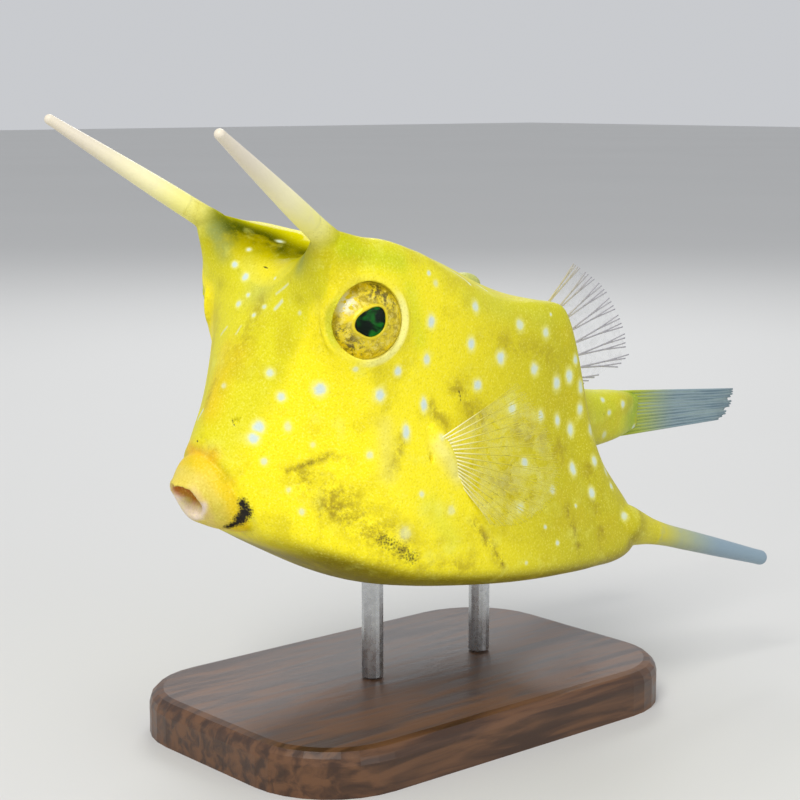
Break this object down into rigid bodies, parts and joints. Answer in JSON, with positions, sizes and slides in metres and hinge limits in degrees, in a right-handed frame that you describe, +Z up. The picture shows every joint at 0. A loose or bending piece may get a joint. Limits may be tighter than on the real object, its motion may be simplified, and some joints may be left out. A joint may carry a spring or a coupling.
{
  "type": "longhorn cowfish model",
  "caption": "Life-size still model of a young longhorn cowfish with brow horns, rear spines and spread fins, on a flat base with two rods.",
  "frame": {"origin": "centre of the model's box in plan, on the surface that the base stands on", "axes": "+X towards the tail, +Y towards the fish's right, +Z up"},
  "size_m": [0.1229, 0.0502, 0.0894],
  "materials": {
    "skin": "fine granular skin, vivid yellow with pale blue spots and small dark patches",
    "lip": "smooth moist beige and pale pink",
    "eye": "clear dome over a gold iris and a dark green pupil",
    "horn": "cream, smooth, slightly clear at the tip",
    "rear_horn": "yellow at the root to grey blue at the tip",
    "fin": "thin clear membrane on pale rays",
    "tail_fin": "grey blue, half clear, on close rays",
    "stand_wood": "dark satin wood",
    "stand_rod": "satin steel"
  },
  "bodies": {
    "root": {"head": "skin", "torso": "skin", "tail_stalk": "skin", "upper_lip": "lip", "lower_lip": "lip", "eye_left": "eye", "eye_right": "eye", "horn_left": "horn", "horn_right": "horn", "rear_horn_left": "rear_horn", "rear_horn_right": "rear_horn", "pectoral_fin_left": "fin", "pectoral_fin_right": "fin", "dorsal_fin": "fin", "anal_fin": "fin", "caudal_fin": "tail_fin", "stand_base": "stand_wood", "stand_rod_front": "stand_rod", "stand_rod_rear": "stand_rod"}
  },
  "joints": []
}
